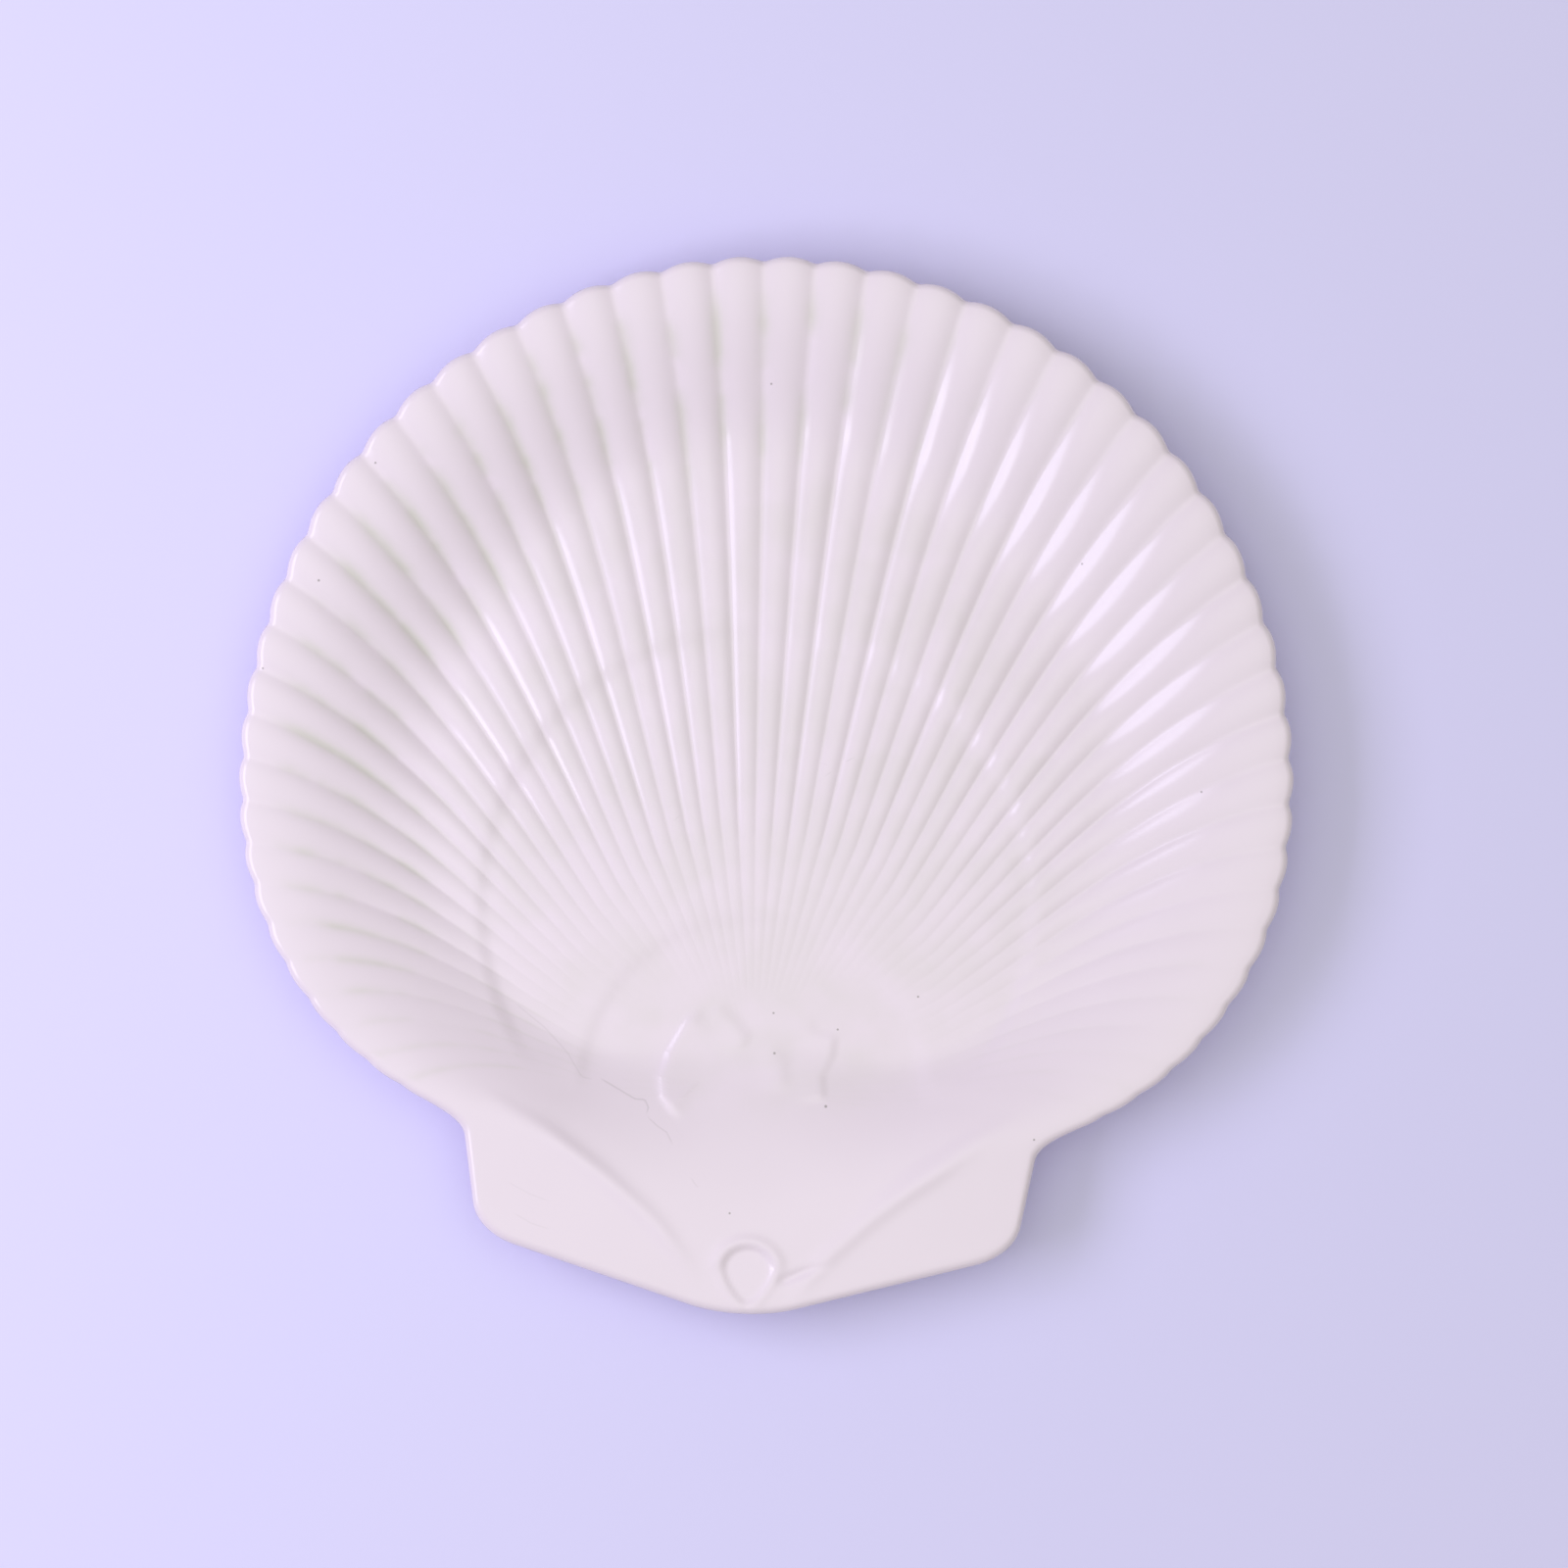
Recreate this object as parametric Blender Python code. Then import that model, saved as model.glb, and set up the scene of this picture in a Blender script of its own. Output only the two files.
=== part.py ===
"""A shell shaped platter: a ribbed scallop fan with two flat ears, one piece of glazed earthenware.

It stands on a foot ring on the table at z = 0. The origin is on the table under the middle of the
outline, +X is towards the right ear, +Y towards the top of the fan and +Z up.
"""

import math

import bmesh
import bpy

MM = 0.001

# Outline, seen from above
LENGTH = 271 * MM  # from the tip of the nose to the top of the fan
FAN_RADIUS = 135 * MM  # to the crests of the scallops
SHOULDER_RADIUS = 88 * MM  # the tighter bend of the fan above each ear
SHOULDER_START = math.radians(96)  # where that bend begins, turning down from the top of the fan
EAR_HALF_WIDTH = 69 * MM  # at the lower corners
EAR_RISE = 18 * MM  # from the tip of the nose up to those corners
EAR_LEAN = math.radians(9.5)  # how far the sides of the ears lean outwards going up
EAR_FILLET = 10 * MM  # in the hollow corner between ear and fan
EAR_ROUNDING = 10.5 * MM
NOSE_ROUNDING = 9 * MM

# Section
RIM_HEIGHT = 22 * MM
BOWL_DEPTH = 12 * MM
WALL = 4 * MM
LIP_INSET = 2 * MM  # how far in from the outline the lip begins to roll over
FLOOR_RADIUS = 85 * MM
NOSE_FLOOR_RADIUS = 65 * MM  # the floor ends earlier towards the nose
NOSE_NARROWNESS = 10  # the higher, the narrower the sector that counts as towards the nose
RIM_WIDTH = 2 * MM  # the level band between the top of the wall and the lip
EAR_WALL_RADIUS = 112 * MM  # the wall ends at least this far from the fan's centre beside the ears
NOSE_WALL_RADIUS = 122 * MM  # and this far out at the nose
WALL_BLEND = 8 * MM
WALL_SWELL = 0.8  # below 1, the wall is steeper near the floor than near the rim
EAR_DROP = 1.2 * MM  # how far the ears lie below the rim
DROP_START = 60 * MM  # up from the tip of the nose, where the rim begins to sink towards the ears
DROP_END = 20 * MM

# The ridge that parts each ear from the hollow: an arc from under the shoulder down to the nose
RIDGE_TOP = (64.5 * MM, 51 * MM)  # from the axis, and up from the tip of the nose
RIDGE_END = (15.5 * MM, 13 * MM)
RIDGE_RADIUS = 175 * MM
RIDGE_WIDTH = 7 * MM  # over which the ear drops to the hollow
RIDGE_FADE = (56 * MM, 72 * MM)  # from the axis, where the ridge dies out towards the shoulder

# Ribs
UMBO_TO_NOSE = 57.3 * MM  # the umbo is the point that the ribs spread from
RIB_COUNT = 53
RIB_SPREAD = math.radians(181)  # the angle that all the ribs fill where they run straightest
RIB_STRAIGHTEST = 0.72  # how far out that is, as a share of the way to the rim
RIB_BEND = 0.66  # how strongly the ribs turn outwards before and after it
RIB_BEND_START = 0.33  # up to this share of the way out, they run straight from the umbo
RIB_RELIEF = 0.095  # depth of the groove beside a rib, as a share of the rib's width
RIB_SMOOTH_RADIUS = 4 * MM  # around the umbo the ribs have died out
RIB_FULL_RADIUS = 88 * MM  # the middle ribs have their full relief from here out
SIDE_RIB_DELAY = 25 * MM  # and the side ribs get theirs this much further out
SIDE_RIB_START = 0.6  # as a share of the way round to the last rib
RIB_FADE_START = 0.5  # from this share of the way round to the last rib, the ribs die out
MIDDLE_RIM_FADE = 0.25  # the share of their relief that the middle ribs lose on their way to the rim
SIDE_RIM_FADE = 0.6  # and the share that the side ribs lose
RIM_FADE_ROUND = (0.55, 0.8)  # where the one gives way to the other, on the way round to the last rib
RIM_FADE_OUT = (0.75, 0.96)  # where the relief is lost, as shares of the way out
SCALLOP_DEPTH = 1.2 * MM  # how far each groove notches the rim

# Foot ring
FOOT_RADIUS = 62.5 * MM  # to the middle of the ring
FOOT_WIDTH = 4 * MM  # where it stands on the table
FOOT_FLARE = 1.5 * MM  # how much wider it is on each side where it joins the floor

# Mesh. Rings of the upper face are shares of the way from the umbo to the lip, and rings of the
# under face, outside the foot, are shares of the way from the fan's centre to the lip.
SIDES_PER_RIB = 4
EAR_SIDES = 60
LIP_STEPS = 4
FULL_RINGS = (0.96, 0.90, 0.84, 0.78, 0.71, 0.64, 0.56, 0.48, 0.40, 0.32)
HALVED_RINGS = (0.25, 0.18)
CENTRE_RINGS = (0.10,)
UNDER_RINGS = (0.95, 0.88, 0.79)
HALVED_UNDER_RINGS = (0.70, 0.60)

GLAZE_COLOUR = (0.80, 0.72, 0.79)

FAN_CENTRE_Y = LENGTH / 2 - FAN_RADIUS
UMBO_Y = UMBO_TO_NOSE - LENGTH / 2
FLOOR_HEIGHT = RIM_HEIGHT - BOWL_DEPTH


def eased(start, end, value):
    """A smooth rise from 0 at start to 1 at end."""
    share = min(max((value - start) / (end - start), 0), 1)
    return share * share * (3 - 2 * share)


def rounded_least(first, second, rounding):
    """The lesser of two distances, with the corner where they cross rounded off."""
    overlap = max(rounding - abs(first - second), 0) / rounding
    return min(first, second) - overlap * overlap * rounding / 4


def rounded_most(first, second, rounding):
    return -rounded_least(-first, -second, rounding)


def reach_of_circle(angle, centre_x, centre_y, radius):
    """How far from the umbo a ray leaves a circle. Angles turn from the top of the fan to the right."""
    offset_y = centre_y - UMBO_Y
    along = centre_x * math.sin(angle) + offset_y * math.cos(angle)
    across = centre_x * math.cos(angle) - offset_y * math.sin(angle)
    return along + math.sqrt(max(radius**2 - across**2, 0))


def reach_of_edge(angle, x, y, facing):
    """How far from the umbo a ray meets the straight edge through (x, y) that faces a given way."""
    distance = x * math.sin(facing) + (y - UMBO_Y) * math.cos(facing)
    return distance / max(math.cos(angle - facing), distance / LENGTH)


def reach_of_fan(angle):
    offset = FAN_RADIUS - SHOULDER_RADIUS
    shoulder_x = offset * math.sin(SHOULDER_START)
    shoulder_y = FAN_CENTRE_Y + offset * math.cos(SHOULDER_START)
    start_x = FAN_RADIUS * math.sin(SHOULDER_START)
    start_y = FAN_CENTRE_Y + FAN_RADIUS * math.cos(SHOULDER_START)
    if angle < math.atan2(start_x, start_y - UMBO_Y):
        return reach_of_circle(angle, 0, FAN_CENTRE_Y, FAN_RADIUS)
    return reach_of_circle(angle, shoulder_x, shoulder_y, SHOULDER_RADIUS)


def reach_of_ear(angle):
    corner_y = EAR_RISE - LENGTH / 2
    tip_y = -LENGTH / 2 - NOSE_ROUNDING / 4
    slope = math.atan2(corner_y - tip_y, EAR_HALF_WIDTH)
    side = reach_of_edge(angle, EAR_HALF_WIDTH, corner_y, math.pi / 2 + EAR_LEAN)
    below = reach_of_edge(angle, 0, tip_y, math.pi - slope)
    other_below = reach_of_edge(angle, 0, tip_y, math.pi + slope)
    corner = rounded_least(side, below, EAR_ROUNDING)
    return rounded_least(corner, other_below, NOSE_ROUNDING)


def smooth_reach(angle):
    """Distance from the umbo to the outline, before the ribs scallop it."""
    turn = abs(math.remainder(angle, 2 * math.pi))
    if turn < math.pi / 3:
        return reach_of_fan(turn)
    return rounded_most(reach_of_fan(turn), reach_of_ear(turn), EAR_FILLET)


def bent(angle, share_out):
    """The way that a spoke heads, seen from the umbo: ribs turn outwards, and the axis stays straight."""
    turn = abs(angle)
    past_straightest = max(share_out, RIB_BEND_START) - RIB_STRAIGHTEST
    past_ribs = max(turn - RIB_SPREAD / 2, 0) / (math.pi - RIB_SPREAD / 2)
    held = math.cos(past_ribs * math.pi / 2) ** 2
    return angle * (1 + RIB_BEND * past_straightest**2 * held)


def groove_shape(angle):
    """1 in the groove between two ribs, 0 on a crest and beyond the ribs, for a spoke's angle."""
    phase = angle * RIB_COUNT / RIB_SPREAD
    if abs(phase) >= RIB_COUNT / 2:
        return 0
    return (2 * math.remainder(phase, 1)) ** 2


def groove_depth(angle, reach, share_out):
    """Depth of a full groove: it dies out round the umbo, on the last ribs and on the side rims."""
    turn = abs(angle)
    last_rib = RIB_SPREAD / 2
    width = reach * RIB_SPREAD / RIB_COUNT
    delay = SIDE_RIB_DELAY * eased(0, SIDE_RIB_START, turn / last_rib)
    full = eased(RIB_SMOOTH_RADIUS, RIB_FULL_RADIUS, reach - delay)
    fading = 1 - eased(RIB_FADE_START, 1, turn / last_rib)
    lost = MIDDLE_RIM_FADE + (SIDE_RIM_FADE - MIDDLE_RIM_FADE) * eased(*RIM_FADE_ROUND, turn / last_rib)
    rim_fading = 1 - lost * eased(*RIM_FADE_OUT, share_out)
    return RIB_RELIEF * width * full * fading * rim_fading


def lip_reach(angle):
    """Distance from the umbo to the scalloped lip, for a spoke's angle."""
    last_rib = RIB_SPREAD / 2
    fading = 1 - eased(last_rib / 2, last_rib, abs(angle)) / 2
    return smooth_reach(bent(angle, 1)) - SCALLOP_DEPTH * fading * groove_shape(angle)


def ridge_centre():
    """The middle of the right ridge's arc, which bulges up towards the hollow."""
    top_x, top_y = RIDGE_TOP
    end_x, end_y = RIDGE_END
    half_chord = math.hypot(top_x - end_x, top_y - end_y) / 2
    away = math.sqrt(max(RIDGE_RADIUS**2 - half_chord**2, 0)) / (2 * half_chord)
    x = (top_x + end_x) / 2 + (top_y - end_y) * away
    y = (top_y + end_y) / 2 - (top_x - end_x) * away
    return x, y - LENGTH / 2


def ear_share(x, y):
    """1 on an ear, 0 in the hollow, and between them across the ridge."""
    centre_x, centre_y = ridge_centre()
    beyond = RIDGE_RADIUS - math.hypot(abs(x) - centre_x, y - centre_y)
    return eased(-RIDGE_WIDTH / 2, RIDGE_WIDTH / 2, beyond) * (1 - eased(*RIDGE_FADE, abs(x)))


def wall_top_radius(turn, towards_nose):
    """How far from the fan's centre the wall ends: just inside the fan's outline, or on the ears."""
    past_start = max(turn - SHOULDER_START, 0)
    offset = FAN_RADIUS - SHOULDER_RADIUS
    across = offset * math.sin(past_start)
    fan = offset * math.cos(past_start) + math.sqrt(SHOULDER_RADIUS**2 - across**2)
    ear = EAR_WALL_RADIUS + (NOSE_WALL_RADIUS - EAR_WALL_RADIUS) * towards_nose
    return rounded_most(fan, ear, WALL_BLEND) - RIM_WIDTH


def bowl_height(x, y):
    """Height of the upper face without its ribs: a round bowl, and the ears a little below its rim."""
    from_centre = math.hypot(x, y - FAN_CENTRE_Y)
    turn = math.atan2(abs(x), y - FAN_CENTRE_Y)
    towards_nose = max(-math.cos(turn), 0) ** NOSE_NARROWNESS
    floor_radius = FLOOR_RADIUS + (NOSE_FLOOR_RADIUS - FLOOR_RADIUS) * towards_nose
    wall_width = wall_top_radius(turn, towards_nose) - floor_radius
    wall = eased(0, 1, max((from_centre - floor_radius) / wall_width, 0) ** WALL_SWELL)
    drop = EAR_DROP * (1 - eased(DROP_END, DROP_START, y + LENGTH / 2))
    return FLOOR_HEIGHT + (BOWL_DEPTH - drop) * (wall + (1 - wall) * ear_share(x, y))


def top_point(angle, share_out, inset=0):
    """A point of the upper face, or inset from the lip."""
    heading = bent(angle, share_out)
    reach = share_out * lip_reach(angle) - inset
    x = reach * math.sin(heading)
    y = UMBO_Y + reach * math.cos(heading)
    return x, y, bowl_height(x, y) - groove_depth(angle, reach, share_out) * groove_shape(angle)


def under_point(lip_point, share_out):
    """A point of the under face, on the line from a point of the lip to the fan's centre."""
    x = lip_point[0] * share_out
    y = FAN_CENTRE_Y + (lip_point[1] - FAN_CENTRE_Y) * share_out
    return x, y, bowl_height(x, y) - WALL


def circle_point(lip_point, radius, height):
    """A point on a level circle about the fan's centre, straight in from a point of the lip."""
    offset_x = lip_point[0]
    offset_y = lip_point[1] - FAN_CENTRE_Y
    scale = radius / math.hypot(offset_x, offset_y)
    return offset_x * scale, FAN_CENTRE_Y + offset_y * scale, height


def spoke_angles():
    """The mesh's spokes: a few to each rib, with one in every groove, then those of the ears."""
    rib_sides = RIB_COUNT * SIDES_PER_RIB
    ear_spread = 2 * math.pi - RIB_SPREAD
    ribs = [RIB_SPREAD * (i / rib_sides - 0.5) for i in range(rib_sides)]
    ears = [RIB_SPREAD / 2 + ear_spread * i / EAR_SIDES for i in range(EAR_SIDES)]
    return ribs + [angle if angle <= math.pi else angle - 2 * math.pi for angle in ears]


def edges_of(mesh, ring):
    return [mesh.edges.get(pair) for pair in zip(ring, ring[1:] + ring[:1])]


def extruded(mesh, ring, points):
    """Extrudes a closed ring of vertices and puts the new ring at the given points."""
    geometry = bmesh.ops.extrude_edge_only(mesh, edges=edges_of(mesh, ring))["geom"]
    made = {item for item in geometry if isinstance(item, bmesh.types.BMVert)}
    following = []
    for vertex, point in zip(ring, points):
        copy = next(e.other_vert(vertex) for e in vertex.link_edges if e.other_vert(vertex) in made)
        copy.co = point
        following.append(copy)
    return following


def halved(mesh, ring):
    """Welds every second vertex of a ring into the one before it."""
    bmesh.ops.weld_verts(mesh, targetmap=dict(zip(ring[1::2], ring[::2])))
    return ring[::2]


def closed_with_fan(mesh, ring, point):
    """Closes a ring with triangles that meet at one point."""
    face = bmesh.ops.contextual_create(mesh, geom=edges_of(mesh, ring))["faces"][0]
    middle = bmesh.ops.poke(mesh, faces=[face])["verts"][0]
    middle.co = point


def build_upper_face(mesh, ring, angles):
    """From the inner edge of the lip to the umbo, with fewer vertices where the ribs have died out."""
    for share_out in FULL_RINGS:
        ring = extruded(mesh, ring, [top_point(a, share_out) for a in angles])
    for shares in (HALVED_RINGS, CENTRE_RINGS):
        ring = halved(mesh, ring)
        angles = angles[::2]
        for share_out in shares:
            ring = extruded(mesh, ring, [top_point(a, share_out) for a in angles])
    closed_with_fan(mesh, ring, (0, UMBO_Y, bowl_height(0, UMBO_Y)))


def build_lip(mesh, ring, angles):
    """Rolls the lip over from its upper edge to its lower one, half an oval in section."""
    uppers = [top_point(a, 1, inset=LIP_INSET) for a in angles]
    outers = [top_point(a, 1) for a in angles]
    for step in range(1, LIP_STEPS + 1):
        roll = math.pi * step / LIP_STEPS
        outwards = math.sin(roll)
        down = WALL / 2 * (1 - math.cos(roll))
        points = []
        for upper, outer in zip(uppers, outers):
            x = upper[0] + (outer[0] - upper[0]) * outwards
            y = upper[1] + (outer[1] - upper[1]) * outwards
            points.append((x, y, upper[2] - down))
        ring = extruded(mesh, ring, points)
    return ring


def build_under_face(mesh, ring, angles):
    """From the lip's lower edge in to the foot ring, round it, and across the recess inside it."""
    lip_points = [top_point(a, 1) for a in angles]
    for share_out in UNDER_RINGS:
        ring = extruded(mesh, ring, [under_point(p, share_out) for p in lip_points])
    ring = halved(mesh, ring)
    lip_points = lip_points[::2]
    for share_out in HALVED_UNDER_RINGS:
        ring = extruded(mesh, ring, [under_point(p, share_out) for p in lip_points])
    under_height = FLOOR_HEIGHT - WALL
    outer = FOOT_RADIUS + FOOT_WIDTH / 2
    inner = FOOT_RADIUS - FOOT_WIDTH / 2
    circles = (
        (outer + FOOT_FLARE, under_height),
        (outer, 0),
        (inner, 0),
        (inner - FOOT_FLARE, under_height),
    )
    for radius, height in circles:
        ring = extruded(mesh, ring, [circle_point(p, radius, height) for p in lip_points])
    ring = halved(mesh, ring)
    lip_points = lip_points[::2]
    ring = extruded(mesh, ring, [circle_point(p, inner / 2, under_height) for p in lip_points])
    closed_with_fan(mesh, ring, (0, FAN_CENTRE_Y, under_height))


def build_platter():
    angles = spoke_angles()
    mesh = bmesh.new()
    ring = bmesh.ops.create_circle(mesh, segments=len(angles), radius=FAN_RADIUS)["verts"]
    for vertex, angle in zip(ring, angles):
        vertex.co = top_point(angle, 1, inset=LIP_INSET)
    lower_ring = build_lip(mesh, ring, angles)
    build_under_face(mesh, lower_ring, angles)
    build_upper_face(mesh, ring, angles)
    bmesh.ops.triangulate(mesh, faces=mesh.faces)
    bmesh.ops.recalc_face_normals(mesh, faces=mesh.faces)
    data = bpy.data.meshes.new("platter")
    mesh.to_mesh(data)
    mesh.free()
    return bpy.data.objects.new("platter", data)


def glaze():
    """Pale glaze, with the faint lilac cast of the light it is seen in."""
    material = bpy.data.materials.new("pale_glaze")
    material.use_nodes = True
    shader = material.node_tree.nodes["Principled BSDF"]
    shader.inputs["Base Color"].default_value = (*GLAZE_COLOUR, 1)
    shader.inputs["Roughness"].default_value = 0.25
    shader.inputs["Metallic"].default_value = 0
    return material


def main():
    for old in list(bpy.data.objects):
        bpy.data.objects.remove(old)
    platter = build_platter()
    bpy.context.scene.collection.objects.link(platter)
    platter.data.materials.append(glaze())
    platter.data.shade_smooth()
    platter.data.set_sharp_from_angle(angle=math.radians(40))


main()
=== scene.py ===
"""A scallop shaped serving platter, lying on a pale table and seen from straight above.

Lengths are in metres, heights are from the table, and the origin is under the platter's middle.
"""

import math

import bmesh
import bpy
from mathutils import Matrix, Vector


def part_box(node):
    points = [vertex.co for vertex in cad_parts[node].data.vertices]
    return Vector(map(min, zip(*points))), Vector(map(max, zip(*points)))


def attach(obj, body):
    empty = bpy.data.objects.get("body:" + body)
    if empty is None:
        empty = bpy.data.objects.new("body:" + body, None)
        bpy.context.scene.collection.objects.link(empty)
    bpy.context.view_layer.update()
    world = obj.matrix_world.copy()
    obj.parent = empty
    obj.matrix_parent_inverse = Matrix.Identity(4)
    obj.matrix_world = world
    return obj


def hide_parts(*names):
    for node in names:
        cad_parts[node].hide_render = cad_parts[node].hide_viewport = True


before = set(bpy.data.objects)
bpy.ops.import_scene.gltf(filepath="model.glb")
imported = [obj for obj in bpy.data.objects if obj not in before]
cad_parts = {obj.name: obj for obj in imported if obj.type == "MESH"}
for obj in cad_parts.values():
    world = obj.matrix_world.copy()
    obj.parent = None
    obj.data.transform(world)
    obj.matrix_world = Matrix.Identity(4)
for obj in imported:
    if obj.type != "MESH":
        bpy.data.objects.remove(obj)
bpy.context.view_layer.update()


# The platter: one piece of white earthenware, slip cast in a two-part mould, so its ribs, ears and
# the fine lines of the shell are all in the clay. It is dipped in glaze, which rounds every edge,
# and it stands on a wiped foot ring.

MM = 0.001

low, high = (Vector(corner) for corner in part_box("platter"))
LENGTH = high.y - low.y
RIM_HEIGHT = high.z
FAN_RADIUS = 135 * MM
SHOULDER_RADIUS = 88 * MM
SHOULDER_START = math.radians(96)
EAR_HALF_WIDTH = 69 * MM
EAR_RISE = 18 * MM
EAR_LEAN = math.radians(9.5)
EAR_FILLET = 10 * MM
EAR_ROUNDING = 10.5 * MM
NOSE_ROUNDING = 9 * MM

BOWL_DEPTH = 12 * MM
WALL = 4 * MM
LIP_INSET = 2 * MM
FLOOR_RADIUS = 85 * MM
NOSE_FLOOR_RADIUS = 65 * MM
NOSE_NARROWNESS = 10
RIM_WIDTH = 2 * MM
EAR_WALL_RADIUS = 112 * MM
NOSE_WALL_RADIUS = 122 * MM
WALL_BLEND = 8 * MM
WALL_SWELL = 0.8
WALL_START = 0.12  # the share of the wall's width over which the floor eases into it
EAR_DROP = 1.2 * MM
DROP_START = 60 * MM
DROP_END = 20 * MM
RIDGE_TOP = (64.5 * MM, 51 * MM)
RIDGE_END = (15.5 * MM, 13 * MM)
RIDGE_RADIUS = 175 * MM
RIDGE_WIDTH = 7 * MM
RIDGE_FADE = (56 * MM, 72 * MM)

UMBO_TO_NOSE = 57.3 * MM
RIB_COUNT = 53
RIB_SPREAD = math.radians(181)
RIB_STRAIGHTEST = 0.72
RIB_BEND = 0.66
RIB_BEND_START = 0.33
RIB_RELIEF = 0.095
GROOVE_ROUNDING = 0.17  # the share of half a rib that the glaze rounds off in the groove
RIB_SMOOTH_RADIUS = 4 * MM
RIB_FULL_RADIUS = 88 * MM
SIDE_RIB_DELAY = 25 * MM
SIDE_RIB_START = 0.6
RIB_FADE_START = 0.5
MIDDLE_RIM_FADE = 0.25
SIDE_RIM_FADE = 0.6
RIM_FADE_ROUND = (0.55, 0.8)
RIM_FADE_OUT = (0.75, 0.96)
RIB_UNEVENNESS = 0.12  # hand finished: neighbouring grooves differ this much in depth
UNEVEN_STEP = 2.4  # in radians from groove to groove, so that the differences don't soon repeat
SCALLOP_DEPTH = 1.2 * MM

FOOT_RADIUS = 62.5 * MM
FOOT_WIDTH = 4 * MM
FOOT_FLARE = 1.5 * MM
FOOT_EDGE = 0.6 * MM
FOOT_FILLET = 1.2 * MM  # the rounding where the foot ring meets the under side
FOOT_FILLET_DEPTH = 0.5 * MM

FAN_CENTRE_Y = high.y - FAN_RADIUS
NOSE_Y = low.y
UMBO_Y = NOSE_Y + UMBO_TO_NOSE
FLOOR_HEIGHT = RIM_HEIGHT - BOWL_DEPTH


def eased(start, end, value):
    """0 up to the start, 1 from the end on, and a smooth rise between them."""
    share = min(max((value - start) / (end - start), 0), 1)
    return share * share * (3 - 2 * share)


def bump(value, middle, width):
    """A smooth rise to 1 at the middle, gone about 1.2 widths away."""
    return math.exp(-(((value - middle) / (width / 2)) ** 2))


def rounded_least(first, second, rounding):
    """The smaller of two lengths, a little less where they are nearly equal, which rounds a corner off."""
    overlap = max(rounding - abs(first - second), 0) / rounding
    return min(first, second) - overlap * overlap * rounding / 4


def reach_of_circle(angle, centre_x, centre_y, radius):
    """How far from the umbo a ray leaves a circle. Angles turn from the top of the fan to the right."""
    offset_y = centre_y - UMBO_Y
    along = centre_x * math.sin(angle) + offset_y * math.cos(angle)
    across = centre_x * math.cos(angle) - offset_y * math.sin(angle)
    return along + math.sqrt(max(radius**2 - across**2, 0))


def reach_of_edge(angle, x, y, facing):
    """How far from the umbo a ray meets the straight edge through a point that faces the given way."""
    distance = x * math.sin(facing) + (y - UMBO_Y) * math.cos(facing)
    return distance / max(math.cos(angle - facing), distance / LENGTH)


def reach_of_fan(angle):
    offset = FAN_RADIUS - SHOULDER_RADIUS
    start_x = FAN_RADIUS * math.sin(SHOULDER_START)
    start_y = FAN_CENTRE_Y + FAN_RADIUS * math.cos(SHOULDER_START)
    if angle < math.atan2(start_x, start_y - UMBO_Y):
        return reach_of_circle(angle, 0, FAN_CENTRE_Y, FAN_RADIUS)
    shoulder_x = offset * math.sin(SHOULDER_START)
    shoulder_y = FAN_CENTRE_Y + offset * math.cos(SHOULDER_START)
    return reach_of_circle(angle, shoulder_x, shoulder_y, SHOULDER_RADIUS)


def reach_of_ear(angle):
    corner_y = NOSE_Y + EAR_RISE
    tip_y = NOSE_Y - NOSE_ROUNDING / 4
    slope = math.atan2(corner_y - tip_y, EAR_HALF_WIDTH)
    side = reach_of_edge(angle, EAR_HALF_WIDTH, corner_y, math.pi / 2 + EAR_LEAN)
    below = reach_of_edge(angle, 0, tip_y, math.pi - slope)
    other_below = reach_of_edge(angle, 0, tip_y, math.pi + slope)
    corner = rounded_least(side, below, EAR_ROUNDING)
    return rounded_least(corner, other_below, NOSE_ROUNDING)


def smooth_reach(angle):
    """How far from the umbo the outline without its notches is: the further of the fan's and the ears'."""
    turn = abs(math.remainder(angle, 2 * math.pi))
    if turn < math.pi / 3:  # well away from the ears
        return reach_of_fan(turn)
    return -rounded_least(-reach_of_fan(turn), -reach_of_ear(turn), EAR_FILLET)


def bent(angle, share_out):
    """The way that a spoke heads, seen from the umbo: ribs turn outwards, and the axis stays straight."""
    past_straightest = max(share_out, RIB_BEND_START) - RIB_STRAIGHTEST
    past_ribs = max(abs(angle) - RIB_SPREAD / 2, 0) / (math.pi - RIB_SPREAD / 2)
    held = math.cos(past_ribs * math.pi / 2) ** 2
    return angle * (1 + RIB_BEND * past_straightest**2 * held)


def groove_shape(angle):
    """1 in the groove between two ribs and 0 on a crest: a rounded rib and a narrow, rounded groove."""
    phase = angle * RIB_COUNT / RIB_SPREAD
    if abs(phase) >= (RIB_COUNT - 1) / 2:
        return 0  # the last rib runs on into the ear without a groove
    from_crest = abs(2 * math.remainder(phase, 1))
    edge = 1 - GROOVE_ROUNDING
    past_edge = max(from_crest - edge, 0)
    round_part = 2 * edge * (past_edge - past_edge**2 / (2 * GROOVE_ROUNDING))
    return (min(from_crest, edge) ** 2 + round_part) / edge


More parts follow.
